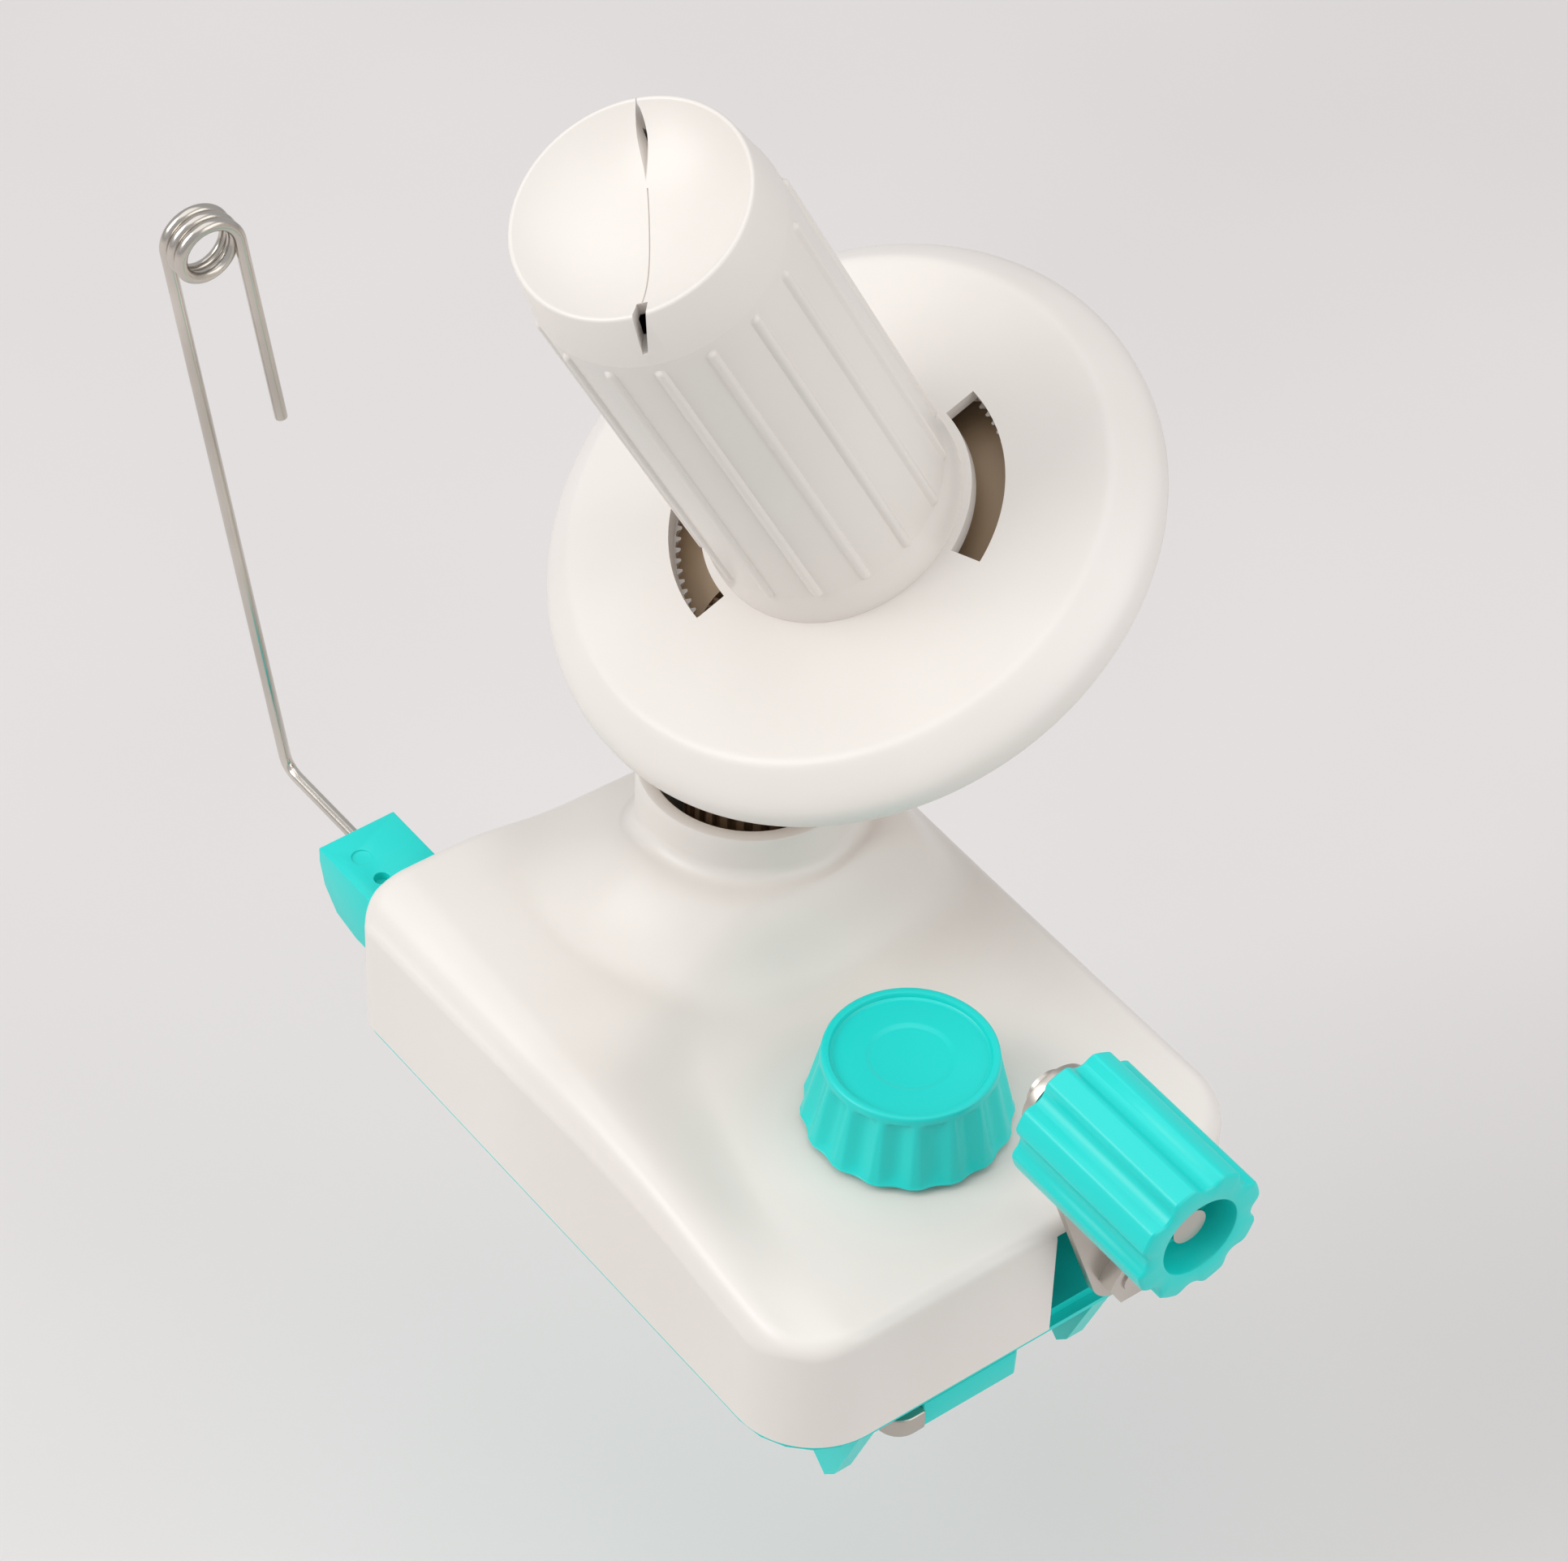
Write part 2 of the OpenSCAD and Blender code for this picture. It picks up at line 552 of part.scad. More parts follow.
ring_out_r = ring_pitch_r + 4;
housing_r = ring_out_r + 3;
ring_top = -disc_wall;
ring_low = -ring_mid - ring_face / 2;
function ring_scale(z) = (ball_h - z) / ring_s;
sun_clear_r = sun_pitch_r + 1.4;
module housing_form(grow) {
    hull() {
        at_main() rod(hub_r + 1.5 + grow, housing_z0 - (grow < 0 ? grow : 0), housing_z0 + 4);
        on_disc() rod(housing_r + grow, -14 - (grow < 0 ? grow : 0), grow < 0 ? -5 : -6);
    }
}

module rotor_housing() color(nylon) difference() {
    union() {
        difference() {
            housing_form(0);
            housing_form(-2);
        }
        intersection() {
            union() {
                on_disc() rod(spin_axle_r + 3, -45, -6);
                at_main() rod(sleeve_r + 2.4, housing_z0, sleeve_top);
                difference() {
                    on_disc() rod(housing_r, ring_low - free_gap - 1.6, ring_low - free_gap);
                    at_main() rod(sun_clear_r, sleeve_top - 10, post_top + 20);
                }
            }
            housing_form(0);
        }
    }
    at_main() rod(sleeve_r, housing_z0 - 1, sleeve_top);
    at_main() rod(post_r + 1, housing_z0 - 1, sleeve_top + 20);
    on_disc() rod(spin_axle_r, -30, 0);
    at_main() at_housing_screws() rod(1.5, housing_z0 - 1, housing_z0 + 3);
}

module housing_screws() color(steel) at_main() at_housing_screws() {
    rod(1.3, hub_z1 - 8, housing_z0 + 2);
    rod(2.1, housing_z0 + 2, housing_z0 + 3.4);
}

module spindle_axle() color(steel) on_disc() rod(spin_axle_r, -spin_axle_drop, hub_boss_h + 0.4);

module spindle_washer() color(steel) on_disc() rod(spin_axle_r + 3, hub_boss_h + 0.4, hub_boss_h + 1.4);

module spindle_screw() color(steel) on_disc() rod(3.6, hub_boss_h + 1.4, hub_boss_h + 4);

slot_a0 = -72.5;
slot_a1 = -5;
module arc_slot(r0, r1, a0, a1, z0, z1) {
    translate([0, 0, z0]) linear_extrude(height = z1 - z0) polygon(concat(
        [for (i = [0 : 12]) let (a = a0 + (a1 - a0) * i / 12) [r0 * cos(a), r0 * sin(a)]],
        [for (i = [12 : -1 : 0]) let (a = a0 + (a1 - a0) * i / 12) [r1 * cos(a), r1 * sin(a)]]));
}

// The rim outside, as shares of the way out and down, and inside, as places in from the rim and down
rim_form = [[0, 0.034], [0.49, 0.278], [0.82, 0.504], [0.94, 0.65], [1, 0.81]];
rim_inside = [[2.7, 9], [3.8, 7.2], [5.8, 5], [7.7, 3.3], [9.8, disc_wall]];
slot_r0 = 26.7;
slot_r1 = 33.2;
hub_r_disc = 13.9;
module winding_disc() color(white) on_disc() difference() {
    rotate_extrude($fn = 180) polygon(concat(
        [[hub_r_disc, 0], [disc_flat_r - 2, 0]],
        [for (p = rim_form) [disc_flat_r + (disc_r - disc_flat_r) * p[0], -disc_t * p[1]]],
        [[disc_r, 0.5 - disc_t], [disc_r - 0.5, -disc_t], [disc_r - disc_wall, -disc_t]],
        [for (p = rim_inside) [disc_r - p[0], -p[1]]],
        [[hub_r_disc, -disc_wall]]));
    for (s = [0, 180]) arc_slot(slot_r0, slot_r1, slot_a0 + s, slot_a1 + s, -disc_wall - 1, 1);
}

module ring_gear() color(white) on_disc() difference() {
    rod(ring_out_r, ring_low, ring_top);
    rod(slot_r1 + 0.8, ring_low + ring_face, ring_top + 1);
    translate([0, 0, ring_low - 1]) linear_extrude(height = ring_face + 1.5,
        scale = ring_scale(ring_low + ring_face + 0.5) / ring_scale(ring_low - 1))
        scale(ring_scale(ring_low - 1))
            rotate(180) polygon(gear_points(ring_teeth, ring_pitch_r - 0.4 * ring_m,
                ring_pitch_r + 0.95 * ring_m, 0.78, 0.44));
}

module spindle_tube() color(white) on_disc() difference() {
    union() {
        rotate_extrude($fn = round_fn) polygon([[tube_r - tube_wall, 3], [tube_r - tube_wall, cup_seat_h],
            [tube_r, cup_seat_h], [tube_r, 14], [tube_r + 0.6, 4], [tube_r + 0.6, 1.2], [tube_r - 0.4, 0],
            [spin_axle_r + 2, 0], [spin_axle_r + 2, 3]]);
        rod(9, 0, 8);
        rod(hub_r_disc, -disc_wall, 3);
        rod(9, hub_boss_h - 8, hub_boss_h);
        rod(tube_r - tube_wall / 2, hub_boss_h - 8, hub_boss_h - 5);
        for (i = [0 : rib_count - 1]) rotate(5.2 + i * 360 / rib_count) translate([tube_r - 0.2, 0, 0]) {
            rod(1, 10, 89);
            translate([0, 0, 10]) sphere(r = 1, $fn = 24);
            translate([0, 0, 89]) sphere(r = 1, $fn = 24);
        }
    }
    rod(spin_axle_r + run_gap + bush_wall, -10, hub_boss_h + 1);
}

module spindle_bushes() color(steel) on_disc()
    for (z = [-disc_wall, hub_boss_h - 8]) difference() {
        rod(spin_axle_r + run_gap + bush_wall, z, z + 8);
        rod(spin_axle_r + run_gap, z - 1, z + 9);
    }

// Cuts in the cup: depth below the rim as a share of its height, place across, half width
cup_h = spindle_h - cup_seat_h;
slit_form = [[-0.1, 0, 0.12], [0.025, 0, 0.15], [0.12, 0, 0.3 * slot_w], [0.28, 0, 0.48 * slot_w],
    [0.42, 0, 0.3 * slot_w], [0.52, 0, 0.1]];
slit_r0 = 6;
notch_form = [[-0.1, 3.05, 0.65 * slot_w], [0.76, 0.4, 0.25 * slot_w]];
notch_r0 = 18;
module cup_cut(form, r0) {
    translate([r0, 0, spindle_h]) rotate([90, 0, 90]) linear_extrude(height = cup_r + 10 - r0)
        polygon(concat([for (q = form) [q[1] - q[2], -q[0] * cup_h]],
            [for (i = [len(form) - 1 : -1 : 0]) let (q = form[i]) [q[1] + q[2], -q[0] * cup_h]]));
}

cup_inner_r = cup_r - cup_wall;
cup_under = spindle_h - cup_depth - 3;
module spindle_cup() color(white) on_disc() difference() {
    rotate_extrude($fn = round_fn) polygon(concat(
        [[0, cup_under], [12, cup_under], [cup_r - 3, spindle_h - 0.4 * cup_h], [cup_r - 2.4, cup_seat_h - 3],
            [tube_r - tube_wall, cup_seat_h - 3], [tube_r - tube_wall, cup_seat_h], [tube_r, cup_seat_h],
            [cup_r, spindle_h]],
        [for (t = [1, 0.975, 0.93, 0.86, 0.77, 0.65, 0.51, 0.37, 0.2, 0])
            [cup_inner_r * t, spindle_h - 0.2 - cup_depth * (1 - pow(t, 2.6))]]));
    rotate(slot_dir) cup_cut(slit_form, slit_r0);
    rotate(slot_dir + 180) cup_cut(notch_form, notch_r0);
}

module clamp_knob() color(teal) at_bolt() difference() {
    union() {
        translate([0, 0, floor_h + 1.2])
            cylinder(r1 = knob_r, r2 = knob_top_r, h = knob_h - 2.2, $fn = round_fn);
        translate([0, 0, floor_h + knob_h - 1]) cylinder(r = knob_top_r, h = 1, $fn = round_fn);
    }
    for (i = [0 : knob_scallops - 1]) rotate(i * 360 / knob_scallops)
        translate([knob_r + 3.9, 0, floor_h]) rotate([0, -atan((knob_r - knob_top_r) / (knob_h - 2.2)), 0])
            cylinder(r = 5, h = knob_h - 2, $fn = 48);
    rod(knob_top_r - 1.8, floor_h + knob_h - 1, floor_h + knob_h + 1);
    rod(knob_top_r - 8.8, floor_h + knob_h - 1.4, floor_h + knob_h + 1);
    rod(bolt_r, floor_h, floor_h + 10);
}

module clamp_bolt() color(steel) at_bolt() rod(bolt_r, -jaw_drop - jaw_t - 3, floor_h + 10);

jaw_z0 = -jaw_drop - jaw_t;
cover_x0 = -jaw_w / 2 + 8.7;
cover_x1 = jaw_w / 2 + 1;
cover_wall = 1.5;
cover_corner = 3.9;
bar_x0 = -jaw_w / 2 + 0.8;
bar_y = jaw_l / 2 + 0.9;
bar_r = 5;
jaw_skin = 0.8;
// Flat form of the cover from one side, drawn in by a distance
module cover_flat(inset, x0) {
    x = cover_x1 - inset;
    y = jaw_l / 2 - inset;
    c = cover_corner - (2 - sqrt(2)) * inset;
    polygon([[x0, -y], [x - c, -y], [x, c - y], [x, y - c], [x - c, y], [x0, y]]);
}

module jaw_cover() color(teal) at_bolt() difference() {
    translate([0, 0, jaw_z0]) linear_extrude(height = jaw_t) cover_flat(0, cover_x0);
    translate([0, 0, jaw_z0 + jaw_skin]) linear_extrude(height = jaw_t - 2 * jaw_skin)
        cover_flat(cover_wall, cover_x0 - 1);
    rod(bolt_r + free_gap, jaw_z0 - 1, 0);
}

module clamp_jaw() color(steel) at_bolt() difference() {
    translate([0, 0, jaw_z0 + jaw_skin]) linear_extrude(height = jaw_t - 2 * jaw_skin) {
        cover_flat(cover_wall, bar_x0 + bar_r);
        polygon(concat([for (a = [90 : 9 : 180]) [bar_x0, bar_y] + bar_r * [1 + cos(a), sin(a) - 1]],
            [for (a = [180 : 9 : 270]) [bar_x0, -bar_y] + bar_r * [1 + cos(a), sin(a) + 1]],
            [[cover_x0, -bar_y], [cover_x0, bar_y]]));
    }
    translate([-nut_w / 2, -nut_w / 2, jaw_z0]) cube([nut_w, nut_w, jaw_t]);
}

module jaw_nut() color(steel) at_bolt() difference() {
    translate([-nut_w / 2, -nut_w / 2, jaw_z0 + jaw_skin]) cube([nut_w, nut_w, jaw_t - 2 * jaw_skin]);
    rod(bolt_r + run_gap, jaw_z0 - 1, 0);
}

upper_shell();
base_plate();
base_screws();
centre_post();
sun_gear();
sun_screw();
thrust_washer();
crank_bushes();
knob_washer();
guide_bracket();
bracket_screw();
guide_wire();
crank_axle();
crown_gear();
crank_arm();
crank_nut();
axle_ring();
handle_screw();
handle_nut();
handle_grip();
drive_sleeve();
sleeve_bushes();
toothed_hub();
rotor_housing();
housing_screws();
spindle_axle();
spindle_washer();
spindle_screw();
winding_disc();
ring_gear();
spindle_tube();
spindle_bushes();
spindle_cup();
clamp_knob();
clamp_bolt();
clamp_jaw();
jaw_cover();
jaw_nut();
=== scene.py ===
"""Looks of the yarn ball winder: camera, studio, materials and the moulded forms
that stand for the plainer CAD solids."""
import json
import math

import bmesh
import bpy
from mathutils import Matrix, Vector


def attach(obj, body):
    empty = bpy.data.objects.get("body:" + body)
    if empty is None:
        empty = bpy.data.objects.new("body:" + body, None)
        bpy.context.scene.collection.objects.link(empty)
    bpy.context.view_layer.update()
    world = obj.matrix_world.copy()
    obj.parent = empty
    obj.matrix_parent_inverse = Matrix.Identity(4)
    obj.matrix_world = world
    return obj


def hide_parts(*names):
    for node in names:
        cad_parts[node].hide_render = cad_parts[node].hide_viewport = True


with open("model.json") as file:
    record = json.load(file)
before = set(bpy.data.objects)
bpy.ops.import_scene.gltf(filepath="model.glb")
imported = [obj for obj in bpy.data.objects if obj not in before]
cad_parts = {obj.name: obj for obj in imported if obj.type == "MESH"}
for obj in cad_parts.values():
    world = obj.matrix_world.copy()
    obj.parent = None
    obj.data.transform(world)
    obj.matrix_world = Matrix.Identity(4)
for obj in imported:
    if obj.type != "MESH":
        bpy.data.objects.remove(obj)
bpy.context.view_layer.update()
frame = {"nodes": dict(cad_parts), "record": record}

NODES = frame["nodes"]
MM = 0.001


# Camera
def make_camera():
    azimuth, elevation, roll = map(math.radians, (-38.5, 44.62, 2.16))
    back = Vector((math.sin(azimuth) * math.cos(elevation),
                   -math.cos(azimuth) * math.cos(elevation), math.sin(elevation)))
    right = Vector((math.cos(azimuth), math.sin(azimuth), 0))
    up = back.cross(right)
    r = math.cos(roll) * right + math.sin(roll) * up
    u = -math.sin(roll) * right + math.cos(roll) * up
    place = -22.85 * r + 62.15 * u + 1055.18 * back + Vector((0, -33, 30))
    cam = bpy.data.objects.new("view_camera", bpy.data.cameras.new("view_camera"))
    bpy.context.scene.collection.objects.link(cam)
    cam.matrix_world = Matrix((
        (r.x, u.x, back.x, place.x * MM), (r.y, u.y, back.y, place.y * MM),
        (r.z, u.z, back.z, place.z * MM), (0, 0, 0, 1)))
    cam.data.sensor_width = 36
    cam.data.lens = 7000 / 1932 * 36
    cam.data.clip_start, cam.data.clip_end = 0.01, 50
    bpy.context.scene.camera = cam
    return cam


make_camera()


# Materials
def srgb(r, g, b):
    def lin(c):
        c /= 255
        return c / 12.92 if c <= 0.04045 else ((c + 0.055) / 1.055) ** 2.4
    return lin(r), lin(g), lin(b), 1


class Shader:
    """A principled material with procedural colour, roughness and bump."""

    def __init__(self, name, roughness=0.4, metallic=0.0, ior=1.5, coat=0.0):
        self.m = bpy.data.materials.new(name)
        self.m.use_nodes = True
        self.tree = self.m.node_tree
        self.b = self.tree.nodes["Principled BSDF"]
        self.b.inputs["Roughness"].default_value = roughness
        self.b.inputs["Metallic"].default_value = metallic
        self.b.inputs["IOR"].default_value = ior
        self.b.inputs["Coat Weight"].default_value = coat
        self.b.inputs["Coat Roughness"].default_value = 0.2
        geo = self.new("ShaderNodeTexCoord")
        self.place = geo.outputs["Object"]

    def new(self, kind, **values):
        n = self.tree.nodes.new(kind)
        for k, v in values.items():
            setattr(n, k, v)
        return n

    def link(self, a, b):
        self.tree.links.new(a, b)

    def scaled(self, scale):
        n = self.new("ShaderNodeMapping")
        n.inputs["Scale"].default_value = scale
        self.link(self.place, n.inputs["Vector"])
        return n.outputs["Vector"]

    def noise(self, scale, detail=3.0, stretch=(1, 1, 1), rough=0.5):
        n = self.new("ShaderNodeTexNoise")
        n.inputs["Scale"].default_value = scale
        n.inputs["Detail"].default_value = detail
        n.inputs["Roughness"].default_value = rough
        self.link(self.scaled(stretch), n.inputs["Vector"])
        return n.outputs["Fac"]

    def ramp(self, fac, stops):
        n = self.new("ShaderNodeValToRGB")
        e = n.color_ramp.elements
        while len(e) < len(stops):
            e.new(0.5)
        for s, (p, c) in zip(e, stops):
            s.position = p
            s.color = c if len(c) == 4 else (*c, 1)
        self.link(fac, n.inputs["Fac"])
        return n.outputs["Color"]

    def colour(self, fac, stops):
        self.link(self.ramp(fac, stops), self.b.inputs["Base Color"])

    def rough(self, fac, low, high):
        n = self.new("ShaderNodeMapRange")
        n.inputs["To Min"].default_value = low
        n.inputs["To Max"].default_value = high
        self.link(fac, n.inputs["Value"])
        self.link(n.outputs["Result"], self.b.inputs["Roughness"])

    def bump(self, *layers):
        last = None
        for fac, strength, distance in layers:
            n = self.new("ShaderNodeBump")
            n.inputs["Strength"].default_value = strength
            n.inputs["Distance"].default_value = distance
            self.link(fac, n.inputs["Height"])
            if last is not None:
                self.link(last, n.inputs["Normal"])
            last = n.outputs["Normal"]
        self.link(last, self.b.inputs["Normal"])


def moulded(name, dark, light, roughness, spread=0.08, grain=0.00004):
    """Satin moulded plastic: faint flow marks, fine grain and small scuffs."""
    s = Shader(name, roughness=roughness, ior=1.48)
    flow = s.noise(14, 3, stretch=(1, 1, 0.6))
    s.colour(flow, [(0.3, dark), (0.7, light)])
    s.rough(s.noise(60, 4), roughness - spread, roughness + spread)
    s.bump((s.noise(1400, 2), 0.25, grain), (s.noise(38, 2), 0.1, 0.0002))
    return s.m


def metal(name, dark, light, roughness, stretch, grain=0.00003):
    """Drawn metal: fine lines along one direction and cloudy wear."""
    s = Shader(name, roughness=roughness, metallic=1.0)
    s.colour(s.noise(24, 4), [(0.3, dark), (0.7, light)])
    s.rough(s.noise(90, 3), roughness - 0.07, roughness + 0.1)
    s.bump((s.noise(700, 2, stretch=stretch), 0.35, grain))
    return s.m


WHITE = moulded("white_abs", srgb(221, 215, 209), srgb(229, 224, 219), 0.36)
TEAL = moulded("teal_abs", srgb(12, 205, 198), srgb(24, 213, 206), 0.34)
STEEL = metal("drawn_steel", srgb(176, 170, 163), srgb(205, 200, 193), 0.3, (1, 1, 0.08))
STEEL_FLAT = metal("rolled_steel", srgb(172, 166, 158), srgb(204, 198, 190), 0.34, (0.08, 1, 0.3))
# A dark brown for the nylon gears.
NYLON = moulded("dark_brown_nylon", srgb(96, 76, 56), srgb(128, 104, 80), 0.5)
# A tan for the rotor housing: painted shade, the warm tone of white plastic in deep shade under the disc.
SHADE_TAN = moulded("painted_shade_tan", srgb(178, 152, 122), srgb(196, 170, 140), 0.45)
WIRE = metal("bright_wire", srgb(186, 180, 172), srgb(214, 208, 200), 0.22, (1, 1, 0.1))
BRASS = metal("turned_brass", srgb(170, 128, 62), srgb(205, 164, 92), 0.3, (1, 1, 0.2))
FINISH = {"white_plastic": WHITE, "teal_plastic": TEAL, "steel": STEEL, "nylon": NYLON, "brass": BRASS}


def paint(o, material):
    if not o.material_slots:
        o.data.materials.append(material)
    for s in o.material_slots:
        s.material = material


for part in frame["record"]["subparts"]:
    paint(NODES[part["node"]], FINISH[part["material_slot"]])
for name in ("crank_arm", "clamp_jaw"):
    paint(NODES[name], STEEL_FLAT)
# The rotor housing, seen through the disc slots, is painted the tan of painted shade.
paint(NODES["rotor_housing"], SHADE_TAN)


# Forms
MAIN = Vector((17, 39.4))
DISC = Matrix.Translation((17, 39.4, 146)) @ Matrix.Rotation(math.radians(-27.3), 4, "Y") \
    @ Matrix.Translation((0, 0, -39.4))
BOLT = Matrix.Translation((0, -33, 0))
HANDLE = Matrix.Translation((17, 0, 17.5)) @ Matrix.Rotation(math.radians(-18.7), 4, "Y") \
    @ Matrix.Translation((0, 0, 60))
HERE = Matrix.Identity(4)


def turn(degrees):
    a = math.radians(degrees)
    return math.cos(a), math.sin(a)


def skin(loops, closed=False, cap=False):
    """Quads between loops of equal length, joined back to the first loop or capped."""
    n, m = len(loops[0]), len(loops)
    faces = []
    for k in range(m if closed else m - 1):
        a, b = k * n, (k + 1) % m * n
        for i in range(n):
            j = (i + 1) % n
            faces.append((a + i, a + j, b + j, b + i))
    if cap:
        faces += [tuple(range(n)), tuple((m - 1) * n + i for i in range(n))]
    return [p for loop in loops for p in loop], faces


def make(name, form, frame_of, material=None, sharp=35):
    """A mesh in metres from points in millimetres of the given frame."""
    points, faces = form
    mesh = bpy.data.meshes.new(name)
    mesh.from_pydata([(frame_of @ Vector(p)) * MM for p in points], [], faces)
    b = bmesh.new()
    b.from_mesh(mesh)
    bmesh.ops.remove_doubles(b, verts=b.verts, dist=1e-7)
    bmesh.ops.recalc_face_normals(b, faces=b.faces)
    b.to_mesh(mesh)
    b.free()
    o = bpy.data.objects.new(name, mesh)
    bpy.context.scene.collection.objects.link(o)
    if material:
        mesh.materials.append(material)
    shade(o, sharp)
    return o


def shade(o, sharp):
    for p in o.data.polygons:
        p.use_smooth = True
    o.data.set_sharp_from_angle(angle=math.radians(sharp))


def bake(o, sharp=35):
    """Apply a piece's modifiers to its mesh."""
    done = o.evaluated_get(bpy.context.evaluated_depsgraph_get())
    mesh = bpy.data.meshes.new_from_object(done)
    o.modifiers.clear()
    o.data = mesh
    shade(o, sharp)


def cut(o, *tools):
    for t in tools:
        m = o.modifiers.new("cut", "BOOLEAN")
        m.operation, m.solver, m.object = "DIFFERENCE", "EXACT", t
    bake(o)
    for t in tools:
        bpy.data.objects.remove(t)


def stand_for(o, body, slot, *nodes):
    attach(o, body)
    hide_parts(*nodes)
    return o


def lathe(profile, n, radius=None):
    """Turn a closed profile of (r, z); radius may change r with the angle."""
    ring = [turn(360 * i / n) for i in range(n)]
    loops = []
    for r, z in profile:
        rs = [radius(r, z, 360 * i / n) if radius else r for i in range(n)]
        loops.append([(q * c, q * s, z) for q, (c, s) in zip(rs, ring)])
    return skin(loops, closed=True)


def slab(corners, z0, z1):
    return skin([[(x, y, z0) for x, y in corners], [(x, y, z1) for x, y in corners]], cap=True)


def box_form(x0, x1, y0, y1, z0, z1):
    return slab([(x0, y0), (x1, y0), (x1, y1), (x0, y1)], z0, z1)


def smooth(t):
    t = min(1, max(0, t))
    return t * t * (3 - 2 * t)


def lookup(x, table):
    if x <= table[0][0]:
        return table[0][1]
    for (a, p), (b, q) in zip(table, table[1:]):
        if x <= b:
            return p + (q - p) * (x - a) / (b - a)
    return table[-1][1]


def eased(x, table):
    return sum(lookup(x + d, table) for d in (-0.12, -0.06, 0, 0.06, 0.12)) / 5


# Body shell
HALF_W, HALF_L, FLOOR, DOME, EDGE, WALL = 54, 71, 30, 15, 3.5, 2.4
NECK, BORE, NECK_TOP, FOOT = 22, 19, 55, 3
CREST = [(-1, -2), (-0.73, -0.3), (-0.36, 4.8), (0, 6.6), (0.35, 6.6), (1, 6.3)]
RAIL_FOOT = [(-1, -0.76), (-0.41, -0.61), (0.07, -0.41), (0.19, -0.2), (0.3, 0)]
REAR_EDGE = [(-1, 6.3), (-0.45, 5.5), (-0.2, 2), (0.4, 0.6), (1, 0)]
SHOULDER = [(-1, 4), (-0.4, 5), (0.2, 9), (1, 12)]


def top(x, y):
    fy = y / HALF_L
    foot = eased(fy, RAIL_FOOT) * HALF_W
    rail = eased(fy, CREST) * smooth((foot - x) / (foot + 0.9 * HALF_W))
    rear = smooth((y - MAIN.y + NECK + 19.5) / 19)
    away = math.hypot(x - MAIN.x, y - MAIN.y) - NECK - FOOT
    bump = smooth(1 - away / NECK) * smooth((HALF_L + 1 - y) / 36) * smooth((HALF_W + 1 - x) / 15)
    edge = eased(x / HALF_W, REAR_EDGE)
    size = eased(fy, SHOULDER)
    u = max(0, 1 - max(0.12, (x + HALF_W) / size))
    drop = size * (1 - math.sqrt(1 - u * u)) + 2 * smooth((x - HALF_W + 18) / 18)
    return FLOOR + (1 - rear) * rail + rear * (edge + (DOME - edge) * bump) - drop


def outline(inset):
    """The plan outline, drawn in by a distance, with the same number of points each time."""
    points = []
    corners = [(1, 1, 0, 6), (-1, 1, 90, 6), (-1, -1, 180, 17), (1, -1, 270, 17)]
    for k, (sx, sy, a0, r) in enumerate(corners):
        cx, cy = sx * (HALF_W - r), sy * (HALF_L - r)
        arc = [turn(a0 + 90 * i / 20) for i in range(21)]
        points += [(cx + (r - inset) * c, cy + (r - inset) * s) for c, s in arc]
        tx, ty, a1, q = corners[(k + 1) % 4]
        c, s = turn(a1)
        end = (tx * (HALF_W - q) + (q - inset) * c, ty * (HALF_L - q) + (q - inset) * s)
        start, steps = points[-1], 56
        points += [(start[0] + (end[0] - start[0]) * i / steps, start[1] + (end[1] - start[1]) * i / steps)
                   for i in range(1, steps)]
    return points


def spread(rim, start, steps, lift):
    """Loops on the body's top from the neck's foot out to a rim."""
    loops = []
    for k in range(steps + 1):
        t = (k / steps) ** 1.25
        at = [(a[0] + (b[0] - a[0]) * t, a[1] + (b[1] - a[1]) * t) for a, b in zip(start, rim)]
        loops.append([(x, y, top(x, y) + lift) for x, y in at])
    return loops


def make_shell():
    rim = outline(EDGE)
    ways = [(Vector(p) - MAIN).normalized() for p in rim]
    rounds = lambda r: [tuple(MAIN + w * r) for w in ways]
    level = lambda r, z: [(x, y, z) for x, y in rounds(r)]
    foot = rounds(NECK + FOOT)
    heights = [top(x, y) for x, y in foot]
    loops = [level(BORE, 26), level(BORE, 54.4), level(19.2, 54.8), level(19.6, NECK_TOP),
             level(21.4, NECK_TOP), level(21.8, 54.8), level(NECK, 54.4), level(NECK, 52)]
    for a in range(90, 0, -9):
        c, s = turn(a)
        loops.append([(x, y, z + FOOT * (1 - c))
                      for (x, y), z in zip(rounds(NECK + FOOT * (1 - s)), heights)])
    loops += spread(rim, foot, 60, 0)
    for a in range(80, -1, -10):
        c, s = turn(a)
        loops.append([(x, y, top(x, y) - EDGE * (1 - s)) for x, y in outline(EDGE * (1 - c))])
    inner = outline(WALL)
    loops += [[(x, y, 1.3) for x, y in outline(0)], [(x, y, 1) for x, y in outline(0.3)],
              [(x, y, 1) for x, y in inner]]
    loops += spread(inner, rounds(NECK), 16, -WALL)[::-1]
    loops.append(level(NECK, 26))
    shell = make("upper_shell_moulded", skin(loops, closed=True), HERE, WHITE)
    notch = make("notch", box_form(5.5, 28.5, -73, -67.6, -1, 27.5), HERE)
    hole = make("hole", slab([(4.4 * c, 4.4 * s) for c, s in (turn(i * 7.5) for i in range(48))], 10, 60), BOLT)
    cut(shell, notch, hole)
    stand_for(shell, "frame", "white_plastic", "upper_shell")


# Disc, spindle and cup
def arc_tool(r0, r1, a0, a1, z0, z1):
    ring = [turn(a0 + (a1 - a0) * i / 30) for i in range(31)]
    corners = [(r0 * c, r0 * s) for c, s in ring] + [(r1 * c, r1 * s) for c, s in reversed(ring)]
    return make("slot_tool", slab(corners, z0, z1), DISC)


